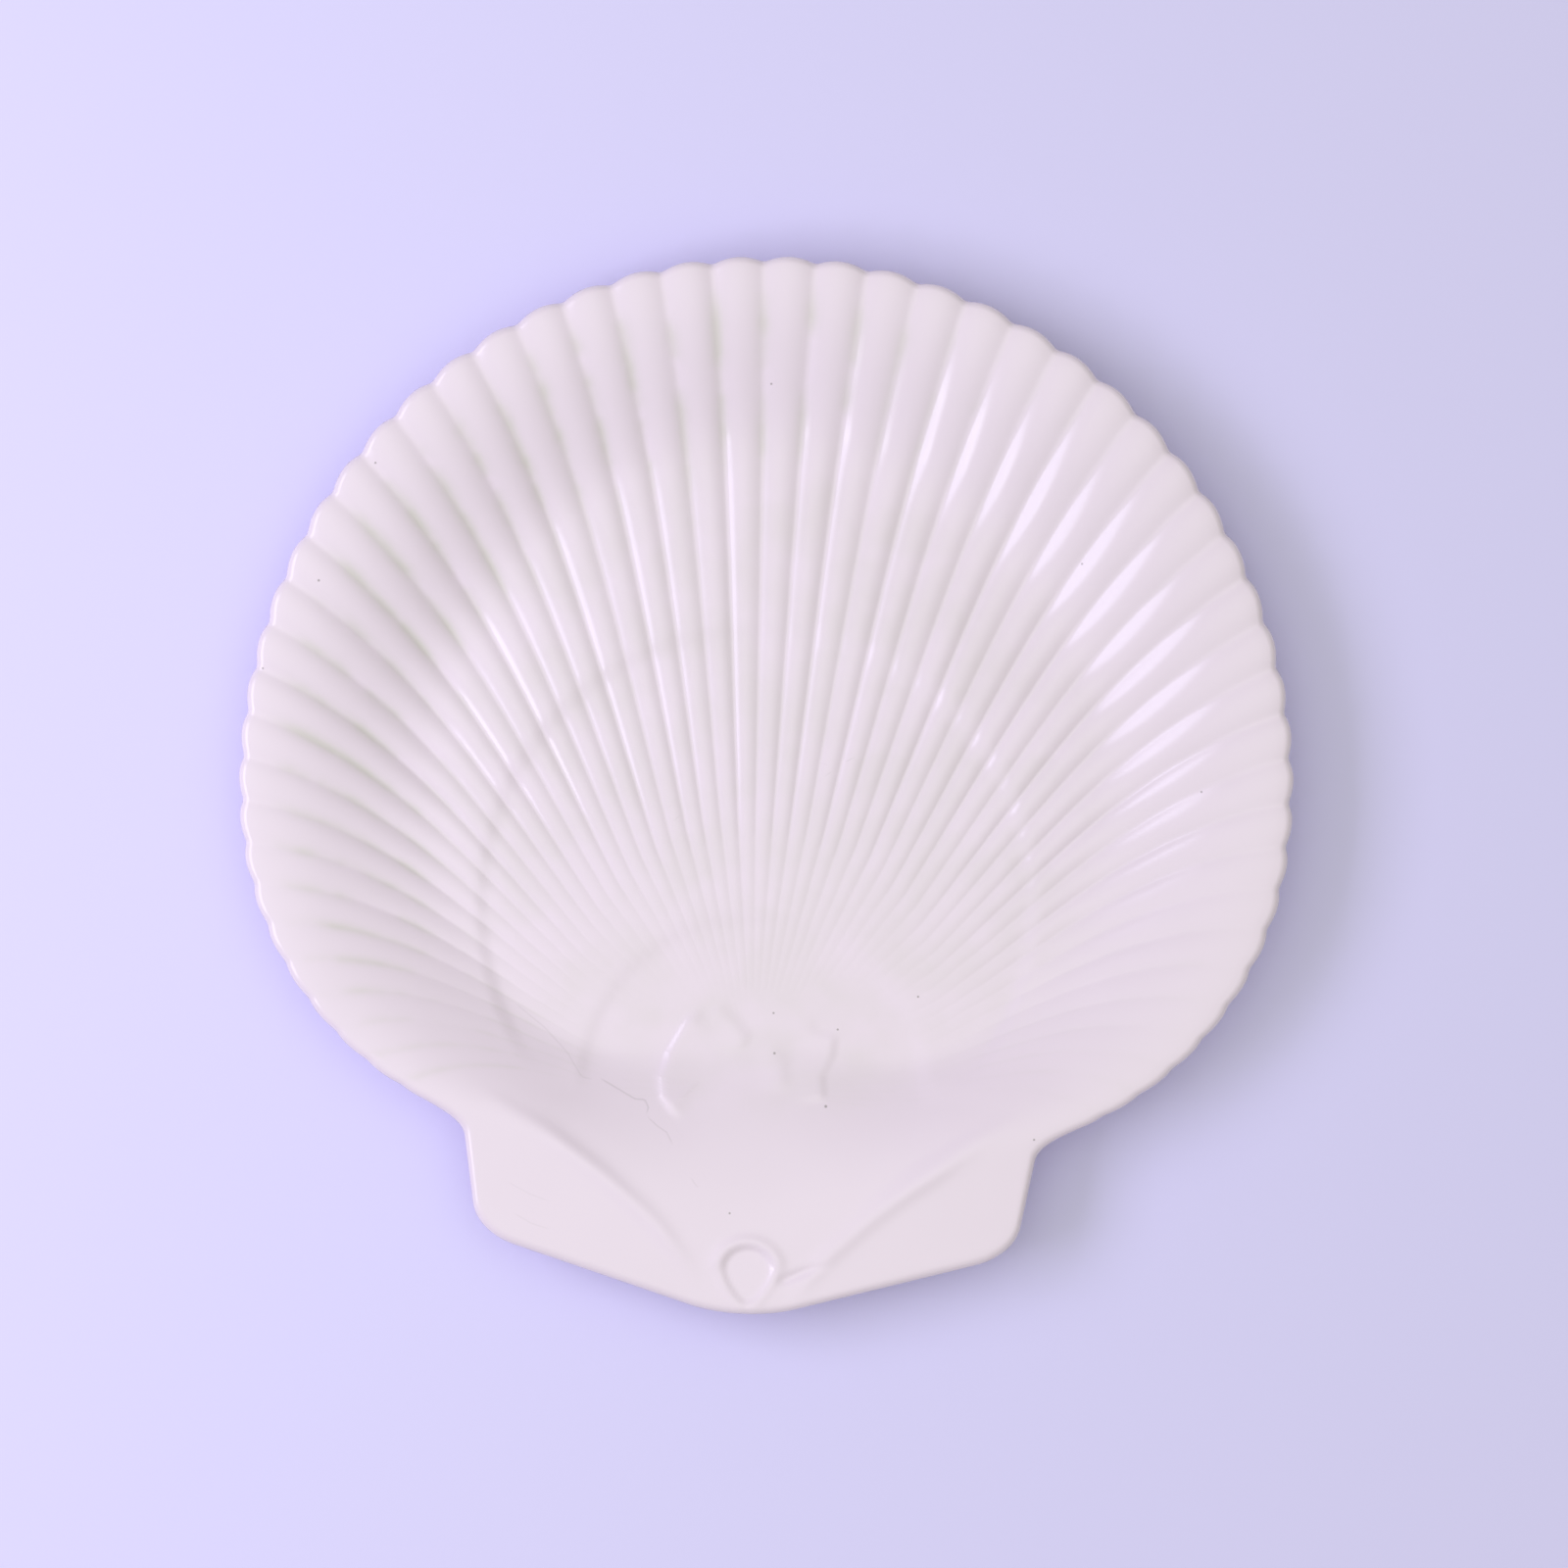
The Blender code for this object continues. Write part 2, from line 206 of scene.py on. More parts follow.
def groove_depth(angle, reach, share_out):
    """Depth of a full groove: it dies out round the umbo, on the last ribs and on the side rims."""
    turn = abs(angle)
    last_rib = RIB_SPREAD / 2
    width = reach * RIB_SPREAD / RIB_COUNT
    delay = SIDE_RIB_DELAY * eased(0, SIDE_RIB_START, turn / last_rib)
    full = eased(RIB_SMOOTH_RADIUS, RIB_FULL_RADIUS, reach - delay)
    fading = 1 - eased(RIB_FADE_START, 1, turn / last_rib)
    lost = MIDDLE_RIM_FADE + (SIDE_RIM_FADE - MIDDLE_RIM_FADE) * eased(*RIM_FADE_ROUND, turn / last_rib)
    rim_fading = 1 - lost * eased(*RIM_FADE_OUT, share_out)
    groove_number = math.floor(angle * RIB_COUNT / RIB_SPREAD)
    uneven = 1 + RIB_UNEVENNESS * math.sin(UNEVEN_STEP * groove_number)
    return RIB_RELIEF * width * full * fading * rim_fading * uneven


def lip_reach(angle):
    last_rib = RIB_SPREAD / 2
    fading = 1 - eased(last_rib / 2, last_rib, abs(angle)) / 2
    return smooth_reach(bent(angle, 1)) - SCALLOP_DEPTH * fading * groove_shape(angle)


top_x, top_y = RIDGE_TOP
end_x, end_y = RIDGE_END
half_chord = math.hypot(top_x - end_x, top_y - end_y) / 2
ridge_away = math.sqrt(RIDGE_RADIUS**2 - half_chord**2) / (2 * half_chord)
RIDGE_CENTRE_X = (top_x + end_x) / 2 + (top_y - end_y) * ridge_away
RIDGE_CENTRE_Y = NOSE_Y + (top_y + end_y) / 2 - (top_x - end_x) * ridge_away


def past_ridge(x, y):
    """Distance past the middle of the slope between hollow and ear: positive on the ear."""
    return RIDGE_RADIUS - math.hypot(abs(x) - RIDGE_CENTRE_X, y - RIDGE_CENTRE_Y)


def wall_top_radius(turn, towards_nose):
    """How far from the fan's centre the wall ends: just inside the fan's outline, or on the ears."""
    past_start = max(turn - SHOULDER_START, 0)
    offset = FAN_RADIUS - SHOULDER_RADIUS
    across = offset * math.sin(past_start)
    fan = offset * math.cos(past_start) + math.sqrt(SHOULDER_RADIUS**2 - across**2)
    ear = EAR_WALL_RADIUS + (NOSE_WALL_RADIUS - EAR_WALL_RADIUS) * towards_nose
    return -rounded_least(-fan, -ear, WALL_BLEND) - RIM_WIDTH


def bowl_height(x, y):
    """Height of the upper face without ribs and fine lines: the solid's, with an easier start of the wall."""
    from_centre = math.hypot(x, y - FAN_CENTRE_Y)
    turn = math.atan2(abs(x), y - FAN_CENTRE_Y)
    towards_nose = max(-math.cos(turn), 0) ** NOSE_NARROWNESS
    floor_radius = FLOOR_RADIUS + (NOSE_FLOOR_RADIUS - FLOOR_RADIUS) * towards_nose
    wall_width = wall_top_radius(turn, towards_nose) - floor_radius
    up_wall = (from_centre - floor_radius) / wall_width
    up_wall = (up_wall + math.hypot(up_wall, WALL_START)) / 2
    wall = eased(0, 1, up_wall**WALL_SWELL)
    drop = EAR_DROP * (1 - eased(DROP_END, DROP_START, y - NOSE_Y))
    ear_share = eased(-RIDGE_WIDTH / 2, RIDGE_WIDTH / 2, past_ridge(x, y))
    ear_share *= 1 - eased(*RIDGE_FADE, abs(x))
    return FLOOR_HEIGHT + (BOWL_DEPTH - drop) * (wall + (1 - wall) * ear_share)


# Fine lines of the mould, as height over the plain bowl
GROWTH_RING = (-1 * MM, -31 * MM, 71 * MM)  # centre and radius of the growth line across the ribs
GROWTH_RING_START = (-46 * MM, -30 * MM)  # it sets in between these heights in plan, from its centre
GROWTH_STEP = 0.65 * MM
INNER_ARC_RADIUS = 44 * MM  # the smaller growth line, about the umbo
INNER_ARC_START = (-3 * MM, 5 * MM)  # and sets in between these, from the umbo
INNER_STEP = 0.5 * MM
STEP_WIDTH = 4.5 * MM
STEP_FADE = 40 * MM  # behind each step the clay eases back to the plain bowl
RIDGE_BEAD = 0.6 * MM  # the raised line along each ridge
RIDGE_BEAD_WIDTH = 5 * MM
RIDGE_BEAD_AT = 0.8 * MM
RIDGE_BEAD_SHIFT = 1.5 * MM  # the mould isn't quite even: the right line lies nearer to its ear than the left
RIDGE_BEAD_START = (10 * MM, 22 * MM)  # distances from the axis over which the line rises
RIDGE_BEAD_END = (46 * MM, 62 * MM)  # and over which it dies out


def growth_line(x, y, centre_x, centre_y, radius, start, step_height):
    """Height of one growth line: the clay steps up at a circle and eases back outside it."""
    out = math.hypot(x - centre_x, y - centre_y)
    above = eased(*start, y - centre_y)
    step = eased(radius - STEP_WIDTH / 2, radius + STEP_WIDTH / 2, out)
    back = 1 - eased(radius, radius + STEP_FADE, out)
    return step_height * above * step * back


def growth_lines(x, y):
    ring = growth_line(x, y, *GROWTH_RING, GROWTH_RING_START, GROWTH_STEP)
    return ring + growth_line(x, y, 0, UMBO_Y, INNER_ARC_RADIUS, INNER_ARC_START, INNER_STEP)


def ridge_beads(x, y):
    ends = eased(*RIDGE_BEAD_START, abs(x)) * (1 - eased(*RIDGE_BEAD_END, abs(x)))
    middle = RIDGE_BEAD_AT + math.copysign(RIDGE_BEAD_SHIFT, x)
    return RIDGE_BEAD * ends * bump(past_ridge(x, y), middle, RIDGE_BEAD_WIDTH)


def path_offset(x, y, path):
    """Signed distance to a path, positive on its right, and how far along it the nearest point is."""
    best = (math.inf, 0, 0)
    travelled = 0
    for (ax, ay), (bx, by) in zip(path, path[1:]):
        step = math.hypot(bx - ax, by - ay)
        ux, uy = (bx - ax) / step, (by - ay) / step
        along = min(max((x - ax) * ux + (y - ay) * uy, 0), step)
        distance = math.hypot(x - ax - ux * along, y - ay - uy * along)
        if distance < best[0]:
            side = uy * (x - ax) - ux * (y - ay)
            best = (distance, math.copysign(distance, side), travelled + along)
        travelled += step
    return best[1], best[2], travelled


# Muscle scars in the middle of the hollow: the clay steps up behind each line and eases away again
SCAR_LINES = (
    # path in mm, height and width of the step, and how far behind it the clay eases back
    (
        ((-14.4, -57), (-18.7, -62.6), (-22.4, -69.8), (-24, -76), (-23.4, -81), (-20.7, -84.3), (-17, -87)),
        0.75, 2.4, 14,
    ),
    (((-0.5, -66.5), (-4.5, -61.5), (-10.5, -56.5)), 0.5, 5, 9),
    (((18.8, -81.5), (17.9, -74), (20.2, -69), (20.9, -62)), 0.45, 3, 10),
    (((9.6, -79), (8.3, -72), (6, -67.5), (9, -65), (17.4, -63)), 0.3, 5, 8),
)


def muscle_scars(x, y):
    height = 0
    for path_mm, step_mm, width_mm, fade_mm in SCAR_LINES:
        path = [(px * MM, py * MM) for px, py in path_mm]
        side, along, length = path_offset(x, y, path)
        if abs(side) > fade_mm * MM:
            continue
        fade = length / 6  # each end of a line dies out over a sixth of it
        ends = eased(0, fade, along) * (1 - eased(length - fade, length, along))
        step = eased(-width_mm / 2 * MM, width_mm / 2 * MM, -side)
        back = 1 - eased(0, fade_mm * MM, -side)
        height += step_mm * MM * ends * step * back
    return height


# The hinge mark at the nose: a sunken shield with a raised edge, a brow over it and a crease beside it
HINGE_X = 0.8 * MM
HINGE_Y = NOSE_Y + 11.5 * MM
HINGE_HALF_WIDTH = 6 * MM
HINGE_TOP = 5.5 * MM
HINGE_TIP = 8.5 * MM
HINGE_DEPTH = 0.4 * MM
HINGE_SLOPE = 0.8 * MM  # half the width of the slope into the shield
HINGE_POINT_POWER = 1.4  # below its middle the shield draws in to a point: 1 is straight, 2 is round
HINGE_EDGE = 0.2 * MM
HINGE_EDGE_AT = 1.5 * MM
HINGE_EDGE_WIDTH = 2.2 * MM
HINGE_BROW = 0.45 * MM
HINGE_BROW_AT = 2.4 * MM
HINGE_BROW_WIDTH = 3.2 * MM
HINGE_BROW_START = (-2 * MM, 3 * MM)
CREASE_PATH = ((8, 8), (12.5, 10.3), (17.7, 12.6), (23, 13.8))  # in mm, from the axis and up from the nose
CREASE_DEPTH = 0.55 * MM
CREASE_WIDTH = 2.4 * MM
CREASE_RISE = 3 * MM  # the lengths over which the crease sets in and dies out
CREASE_FALL = 8 * MM


def hinge_mark(x, y):
    across, up = abs(x - HINGE_X) / HINGE_HALF_WIDTH, y - HINGE_Y
    if up > 0:
        outward = math.hypot(across, up / HINGE_TOP)
    else:
        power = HINGE_POINT_POWER
        outward = (across**power + (-up / HINGE_TIP) ** power) ** (1 / power)
    past_edge = (outward - 1) * HINGE_HALF_WIDTH
    sunken = -HINGE_DEPTH * (1 - eased(-HINGE_SLOPE, HINGE_SLOPE, past_edge))
    raised = HINGE_EDGE * bump(past_edge, HINGE_EDGE_AT, HINGE_EDGE_WIDTH)
    brow = HINGE_BROW * eased(*HINGE_BROW_START, up) * bump(past_edge, HINGE_BROW_AT, HINGE_BROW_WIDTH)
    path = [(px * MM, NOSE_Y + py * MM) for px, py in CREASE_PATH]
    side, along, length = path_offset(x, y, path)
    ends = eased(0, CREASE_RISE, along) * (1 - eased(length - CREASE_FALL, length, along))
    crease = -CREASE_DEPTH * ends * bump(side, 0, CREASE_WIDTH)
    return sunken + raised + brow + crease


def fine_relief(x, y):
    return growth_lines(x, y) + ridge_beads(x, y) + muscle_scars(x, y) + hinge_mark(x, y)


# Marks of use on the glaze, each a path in mm and its strength: a hairline crack in the hollow, which
# stops and starts, and a few scratches
HAIRLINES = (
    (((-62, -59), (-54, -65), (-48, -71), (-44, -77), (-41, -77.5)), 0.45),
    (((-39.5, -77), (-30, -82), (-27.5, -82), (-26.5, -84), (-27, -86)), 1),
    (((-27, -86), (-24, -88.5), (-21.5, -90), (-19.5, -93.5)), 0.7),
    (((-15, -101), (-12.5, -104)), 0.4),
    (((15, 3), (16.5, 4.4)), 0.6),
    (((20.6, 6.9), (21.9, 8.4)), 0.5),
    (((-23.4, -10.2), (-21.8, -8.6)), 0.5),
    (((-60, -112), (-55, -114.6), (-50, -116)), 0.3),
    (((-62, -104), (-56, -107), (-50, -109)), 0.25),
)
HAIRLINE_REACH = 3 * MM  # how far from a line its distance is kept
HAIRLINE_FADE = 2 * MM


def hairline_at(x, y):
    """Signed distance to the nearest hairline, and its strength there."""
    offset, strength = HAIRLINE_REACH, 0
    for path_mm, path_strength in HAIRLINES:
        path = [(px * MM, py * MM) for px, py in path_mm]
        path_x = [px for px, py in path]
        if not min(path_x) - HAIRLINE_REACH < x < max(path_x) + HAIRLINE_REACH:
            continue
        side, along, length = path_offset(x, y, path)
        if abs(side) < abs(offset):
            fade = min(HAIRLINE_FADE, length / 3)
            ends = eased(0, fade, along) * (1 - eased(length - fade, length, along))
            offset, strength = side, path_strength * ends
    return offset, strength


# The glaze pools in the grooves of the wall, most on one side, and a little in the hollow; the greenish tint
# in the grooves also paints shade into them
POOL_START = (72 * MM, 96 * MM)  # distances from the fan's centre over which the grooves take the tint of pooling glaze and painted shade
POOL_END = (118 * MM, 130 * MM)  # and over which they are free of it again
POOL_SIDE = math.radians(-55)  # the upper left, from the top of the fan
POOL_TURN = (-0.3, 1)  # cosines of the angle from that side over which the pools grow
POOL_LEAST = 0.1
HOLLOW_POOL = 0.25
HOLLOW_POOL_END = (70 * MM, 95 * MM)


def glaze_pool_and_groove_shade(angle, x, y):
    """How strong the greenish tint is, from 0 to 1: pooling glaze, and in the grooves painted shade as well.
    """
    from_centre = math.hypot(x, y - FAN_CENTRE_Y)
    up_wall = eased(*POOL_START, from_centre) * (1 - eased(*POOL_END, from_centre))
    towards = math.cos(math.atan2(x, y - FAN_CENTRE_Y) - POOL_SIDE)
    side = POOL_LEAST + (1 - POOL_LEAST) * eased(*POOL_TURN, towards)
    in_hollow = HOLLOW_POOL * (1 - eased(*HOLLOW_POOL_END, from_centre))
    return in_hollow + groove_shape(angle) ** 2 * up_wall * side


def top_point(angle, reach_to_lip, share_out):
    """The point of the upper face at a share of the way from the umbo out to the lip."""
    heading = bent(angle, share_out)
    reach = share_out * reach_to_lip
    x = reach * math.sin(heading)
    y = UMBO_Y + reach * math.cos(heading)
    groove = groove_depth(angle, reach, share_out) * groove_shape(angle)
    return Vector((x, y, bowl_height(x, y) + fine_relief(x, y) - groove))


# Mesh spokes, a few to each rib and closest together in the grooves, then those of the ears
RIB_PHASES = (0, 0.045, 0.09, 0.17, 0.28, 0.39, 0.5, 0.61, 0.72, 0.83, 0.91, 0.955)
EAR_SIDES = 192
spokes = [
    RIB_SPREAD * ((rib + phase) / RIB_COUNT - 0.5)
    for rib in range(RIB_COUNT)
    for phase in RIB_PHASES
]
ear_spread = 2 * math.pi - RIB_SPREAD
for side in range(EAR_SIDES):
    angle = RIB_SPREAD / 2 + ear_spread * side / EAR_SIDES
    spokes.append(angle if angle <= math.pi else angle - 2 * math.pi)
reaches = [lip_reach(angle) for angle in spokes]
face_shares = [1 - LIP_INSET / reach for reach in reaches]  # how far out the upper face goes


def edges_of(mesh, ring):
    return [mesh.edges.get(pair) for pair in zip(ring, ring[1:] + ring[:1])]


def extruded(mesh, ring, points):
    """Extrudes a closed ring of vertices and puts the new ring at the given points."""
    geometry = bmesh.ops.extrude_edge_only(mesh, edges=edges_of(mesh, ring))["geom"]
    made = {item for item in geometry if isinstance(item, bmesh.types.BMVert)}
    following = []
    for vertex, point in zip(ring, points):
        copy = next(e.other_vert(vertex) for e in vertex.link_edges if e.other_vert(vertex) in made)
        copy.co = point
        following.append(copy)
    return following


def halved(mesh, ring):
    """Welds every second vertex of a ring to the one before it and gives those that are left."""
    bmesh.ops.weld_verts(mesh, targetmap=dict(zip(ring[1::2], ring[::2])))
    return ring[::2]


def closed_with_fan(mesh, ring, point):
    """Fills a ring with triangles that meet at the given point."""
    face = bmesh.ops.contextual_create(mesh, geom=edges_of(mesh, ring))["faces"][0]
    bmesh.ops.poke(mesh, faces=[face])["verts"][0].co = point


platter_mesh = bmesh.new()
pool_and_shade_layer = platter_mesh.verts.layers.float.new("glaze_pool_and_groove_shade")
offset_layer = platter_mesh.verts.layers.float.new("hairline_offset")
strength_layer = platter_mesh.verts.layers.float.new("hairline_strength")
lip_ring = bmesh.ops.create_circle(platter_mesh, segments=len(spokes), radius=FAN_RADIUS)["verts"]
uppers = [top_point(a, r, edge) for a, r, edge in zip(spokes, reaches, face_shares)]
outers = [top_point(a, r, 1) for a, r in zip(spokes, reaches)]
for vertex, point in zip(lip_ring, uppers):
    vertex.co = point

# The lip, rolled over from its upper edge to its lower one
LIP_STEPS = 8
ring = lip_ring
for step in range(1, LIP_STEPS + 1):
    roll = math.pi * step / LIP_STEPS
    down = Vector((0, 0, WALL / 2 * (1 - math.cos(roll))))
    points = []
    for upper, outer in zip(uppers, outers):
        point = upper.lerp(outer, math.sin(roll))
        point.z = upper.z
        points.append(point - down)
    ring = extruded(platter_mesh, ring, points)

# The under side, in to the foot ring, round it, and across the recess inside it
under_height = FLOOR_HEIGHT - WALL
foot_outer = FOOT_RADIUS + FOOT_WIDTH / 2
foot_inner = FOOT_RADIUS - FOOT_WIDTH / 2
edge_middle = 0.3 * FOOT_EDGE  # where the rounding of the edge is halfway round
fillet_height = under_height - FOOT_FILLET_DEPTH
FOOT_SECTION = (
    # radius and height of each turn of the foot ring's section
    (foot_outer + FOOT_FLARE + FOOT_FILLET, under_height + 0.1 * MM),
    (foot_outer + FOOT_FLARE, fillet_height),
    (foot_outer + FOOT_FLARE / 2, under_height / 2),
    (foot_outer, FOOT_EDGE),
    (foot_outer - edge_middle, edge_middle),
    (foot_outer - FOOT_EDGE, 0),
    (foot_inner + FOOT_EDGE, 0),
    (foot_inner + edge_middle, edge_middle),
    (foot_inner, FOOT_EDGE),
    (foot_inner - FOOT_FLARE / 2, under_height / 2),
    (foot_inner - FOOT_FLARE, fillet_height),
    (foot_inner - FOOT_FLARE - FOOT_FILLET, under_height),
    (2 * foot_inner / 3, under_height),
    (foot_inner / 3, under_height),
)
UNDER_SHARES = (0.975, 0.95, 0.92, 0.88, 0.84, 0.79, 0.74, 0.69, 0.64, 0.59)  # of the way out to the lip
UNDER_HALVING = 0.88  # inside this one, half as many vertices are enough
fan_centre = Vector((0, FAN_CENTRE_Y, 0))
for share_out in UNDER_SHARES:
    points = []
    for outer in outers:
        point = fan_centre.lerp(Vector((outer.x, outer.y, 0)), share_out)
        point.z = bowl_height(point.x, point.y) - WALL
        points.append(point)
    ring = extruded(platter_mesh, ring, points)
    if share_out == UNDER_HALVING:
        ring = halved(platter_mesh, ring)
        outers = outers[::2]
for radius, height in FOOT_SECTION:
    points = []
    for outer in outers:
        outwards = Vector((outer.x, outer.y - FAN_CENTRE_Y)).normalized() * radius
        points.append(Vector((outwards.x, FAN_CENTRE_Y + outwards.y, height)))
    ring = extruded(platter_mesh, ring, points)
closed_with_fan(platter_mesh, ring, (0, FAN_CENTRE_Y, under_height))

# The upper face, from the lip in to the umbo, in rings that are closer near the umbo, and with fewer
# spokes where the ribs have died out
ring, angles, lengths, edges = lip_ring, spokes, reaches, face_shares
shares = [0.985 - 0.01 * i for i in range(79)] + [0.195 - 0.005 * i for i in range(38)]
HALVINGS = (0.3, 0.12, 0.05)
for share_out, next_share in zip(shares, shares[1:] + [0]):
    points = [top_point(a, r, share_out * edge) for a, r, edge in zip(angles, lengths, edges)]
    ring = extruded(platter_mesh, ring, points)
    for vertex, angle in zip(ring, angles):
        x, y, z = vertex.co
        vertex[pool_and_shade_layer] = glaze_pool_and_groove_shade(angle, x, y)
        vertex[offset_layer], vertex[strength_layer] = hairline_at(x, y)
    if any(share_out > halving >= next_share for halving in HALVINGS):
        ring = halved(platter_mesh, ring)
        angles = angles[::2]
        lengths = lengths[::2]
        edges = edges[::2]
closed_with_fan(platter_mesh, ring, (0, UMBO_Y, bowl_height(0, UMBO_Y) + fine_relief(0, UMBO_Y)))
bmesh.ops.recalc_face_normals(platter_mesh, faces=platter_mesh.faces)

platter_data = bpy.data.meshes.new("platter_shell")
platter_mesh.to_mesh(platter_data)
platter_mesh.free()
platter_data.shade_smooth()
platter = bpy.data.objects.new("platter_shell", platter_data)
bpy.context.scene.collection.objects.link(platter)


def linear(hex_colour):
    """An sRGB hex value as the linear colour that Blender's sockets take."""
    channels = [int(hex_colour[i:i + 2], 16) / 255 for i in (1, 3, 5)]
    return tuple(c / 12.92 if c <= 0.04045 else ((c + 0.055) / 1.055) ** 2.4 for c in channels) + (1,)


def node(tree, kind, inputs=None, **settings):
    """Adds a node with its settings, and gives each input a value or the socket that feeds it."""
    made = tree.nodes.new(kind)
    for name, value in settings.items():
        setattr(made, name, value)
    for name, value in (inputs or {}).items():
        if isinstance(value, bpy.types.NodeSocket):
            tree.links.new(value, made.inputs[name])
        else:
            made.inputs[name].default_value = value
    return made


# Glossy white glaze over cream earthenware, softly uneven: it gives a faint cloudy change of tone, a slightly
# rippled shine, a greener tint where it pools in the grooves, which also paints shade into them, and small
# marks of use
GLAZE_TONES = ("#eadce9", "#efe1ef")
CLOUD_SIZE = 38 * MM
POOL_AND_SHADE_COLOUR = "#c0c6ab"
POOL_AND_SHADE_STRENGTH = 0.45
PATCH_SIZE = 14 * MM
PATCH_CONTRAST = {"From Min": 0.35, "From Max": 0.65}
MARK_COLOUR = "#5d5a4c"
HAIRLINE_DARKNESS = 0.16
HAIRLINE_WIDTH = {"From Min": 0.1 * MM, "From Max": 0.3 * MM}  # full to the first, gone at the second
SPECK_DARKNESS = 0.55
RIPPLE_SIZE = 5 * MM
RIPPLE_HEIGHT = 0.05 * MM
SPECKS = (
    # place in mm and radius of each dark speck in the glaze
    (-3.4, 103.1, 0.3), (-103.6, 77.9, 0.3), (-116.7, 47.2, 0.35), (-130, 24.1, 0.3), (78.5, 60.6, 0.3),
    (111.5, 3.4, 0.3), (41.5, -52.6, 0.3), (5.2, -68.8, 0.35), (19, -81.7, 0.4), (21.2, -62, 0.3),
    (-4.4, -109.8, 0.3), (4.5, -58.5, 0.3), (72.5, -87.4, 0.3),
)
glaze = bpy.data.materials.new("white_earthenware_glaze")
glaze.use_nodes = True
tree = glaze.node_tree
shader = tree.nodes["Principled BSDF"]
place = node(tree, "ShaderNodeTexCoord").outputs["Object"]
clouds = node(tree, "ShaderNodeTexNoise", {"Vector": place, "Scale": 1 / CLOUD_SIZE, "Detail": 3.0})
deeper, paler = (linear(colour) for colour in GLAZE_TONES)
tones = {"Fac": clouds.outputs["Fac"], "Color1": deeper, "Color2": paler}
tone = node(tree, "ShaderNodeMixRGB", tones)
# the greenish tint: pooling glaze in the hollow, and in the grooves pooling glaze with painted shade
pool = node(tree, "ShaderNodeAttribute", attribute_name="glaze_pool_and_groove_shade").outputs["Fac"]
patches = node(tree, "ShaderNodeTexNoise", {"Vector": place, "Scale": 1 / PATCH_SIZE, "Detail": 2.0})
uneven = node(tree, "ShaderNodeMapRange", {"Value": patches.outputs["Fac"], **PATCH_CONTRAST})
pooled = node(tree, "ShaderNodeMath", {0: pool, 1: uneven.outputs[0]}, operation="MULTIPLY").outputs[0]
some = node(tree, "ShaderNodeMath", {0: pooled, 1: POOL_AND_SHADE_STRENGTH}, operation="MULTIPLY").outputs[0]
pool_and_shade_tint = {"Fac": some, "Color1": tone.outputs[0], "Color2": linear(POOL_AND_SHADE_COLOUR)}
tinted = node(tree, "ShaderNodeMixRGB", pool_and_shade_tint)
offset = node(tree, "ShaderNodeAttribute", attribute_name="hairline_offset").outputs["Fac"]
strength = node(tree, "ShaderNodeAttribute", attribute_name="hairline_strength").outputs["Fac"]
distance = node(tree, "ShaderNodeMath", {0: offset}, operation="ABSOLUTE").outputs[0]
fading = {"Value": distance, "To Min": HAIRLINE_DARKNESS, "To Max": 0.0}
line = node(tree, "ShaderNodeMapRange", {**fading, **HAIRLINE_WIDTH}).outputs[0]
mark = node(tree, "ShaderNodeMath", {0: line, 1: strength}, operation="MULTIPLY").outputs[0]
flat = node(tree, "ShaderNodeVectorMath", {0: place, 1: (1, 1, 0)}, operation="MULTIPLY").outputs[0]
for x_mm, y_mm, radius_mm in SPECKS:
    speck = (x_mm * MM, y_mm * MM, 0)
    away = node(tree, "ShaderNodeVectorMath", {0: flat, 1: speck}, operation="DISTANCE").outputs["Value"]
    radii = {"From Min": 0.6 * radius_mm * MM, "From Max": 1.2 * radius_mm * MM}
    fading = {"Value": away, "To Min": SPECK_DARKNESS, "To Max": 0.0}
    dot = node(tree, "ShaderNodeMapRange", {**fading, **radii}).outputs[0]
    mark = node(tree, "ShaderNodeMath", {0: mark, 1: dot}, operation="MAXIMUM").outputs[0]
marks = {"Fac": mark, "Color1": tinted.outputs[0], "Color2": linear(MARK_COLOUR)}
marked = node(tree, "ShaderNodeMixRGB", marks)
tree.links.new(marked.outputs["Color"], shader.inputs["Base Color"])
shader.inputs["Roughness"].default_value = 0.2
shader.inputs["IOR"].default_value = 1.5
ripples = node(tree, "ShaderNodeTexNoise", {"Vector": place, "Scale": 1 / RIPPLE_SIZE, "Detail": 2.0})
ripple_bump = {"Strength": 0.3, "Distance": RIPPLE_HEIGHT, "Height": ripples.outputs["Fac"]}
ripple = node(tree, "ShaderNodeBump", ripple_bump)
tree.links.new(ripple.outputs["Normal"], shader.inputs["Normal"])
platter_data.materials.append(glaze)

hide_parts("platter")
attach(platter, "root")


# The table: a sheet of matt, pale lavender board, large enough to fill the view and catch the
# platter's soft shadow.

TABLE_HALF_WIDTH = 1.5

floor_mesh = bmesh.new()
bmesh.ops.create_grid(floor_mesh, x_segments=1, y_segments=1, size=TABLE_HALF_WIDTH)
floor_data = bpy.data.meshes.new("table")
floor_mesh.to_mesh(floor_data)
floor_mesh.free()
floor = bpy.data.objects.new("table", floor_data)
bpy.context.scene.collection.objects.link(floor)
board = bpy.data.materials.new("matt_lavender_board")
board.use_nodes = True
board_shader = board.node_tree.nodes["Principled BSDF"]
board_shader.inputs["Base Color"].default_value = linear("#ded8ff")
board_shader.inputs["Roughness"].default_value = 0.7
floor_data.materials.append(board)


# The light: a wide soft box on the left, a small one on the left towards the ears, whose reflection
# draws the bright streaks on the ribs, and a white room that is brightest at its ceiling.

KEY_SHARE = 0.36
STREAK_SHARE = 0.014
ROOM_SHARE = 0.68
HORIZON_SHARE = 0.15  # how bright the room is at eye level, as a share of its ceiling
CEILING_FALLOFF = 6  # the power of the height that the room's light falls off with


